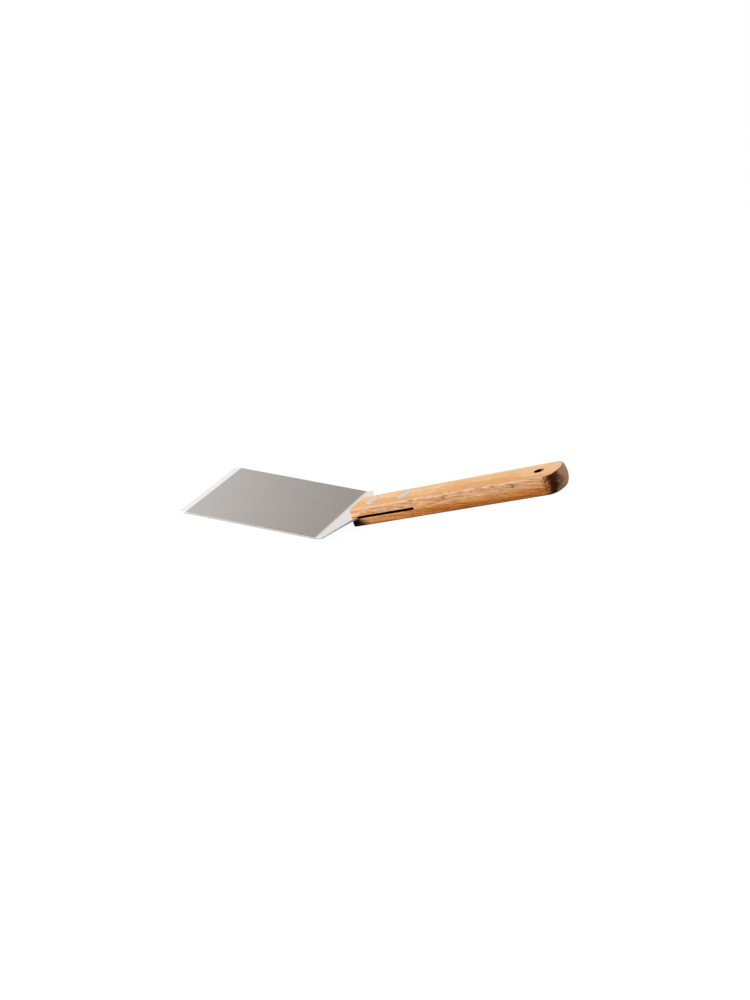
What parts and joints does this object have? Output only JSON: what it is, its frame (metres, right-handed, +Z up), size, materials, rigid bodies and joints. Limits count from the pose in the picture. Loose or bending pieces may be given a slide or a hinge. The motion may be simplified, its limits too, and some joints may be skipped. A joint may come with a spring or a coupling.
{
  "type": "lasagna spatula",
  "caption": "Kitchen spatula with a broad flat steel blade, bevelled at the tip and bent at the shoulder, riveted into a slotted wooden handle with a hang hole.",
  "frame": {"origin": "centre of the blade's flat underside", "axes": "+X from the blade's tip to the handle, +Y across the blade, +Z up, square to the blade"},
  "size_m": [0.2508, 0.0782, 0.0619],
  "materials": {
    "sheet_steel": "fine brushing along the blade, bright ground bevel at the tip",
    "handle_wood": "light open-grained hardwood, sanded and oiled",
    "rivet_metal": "flat heads sanded flush, satin"
  },
  "bodies": {
    "root": {"blade": "sheet_steel", "handle": "handle_wood", "rivet_front_post": "rivet_metal", "rivet_front_sleeve": "rivet_metal", "rivet_rear_post": "rivet_metal", "rivet_rear_sleeve": "rivet_metal"}
  },
  "joints": []
}
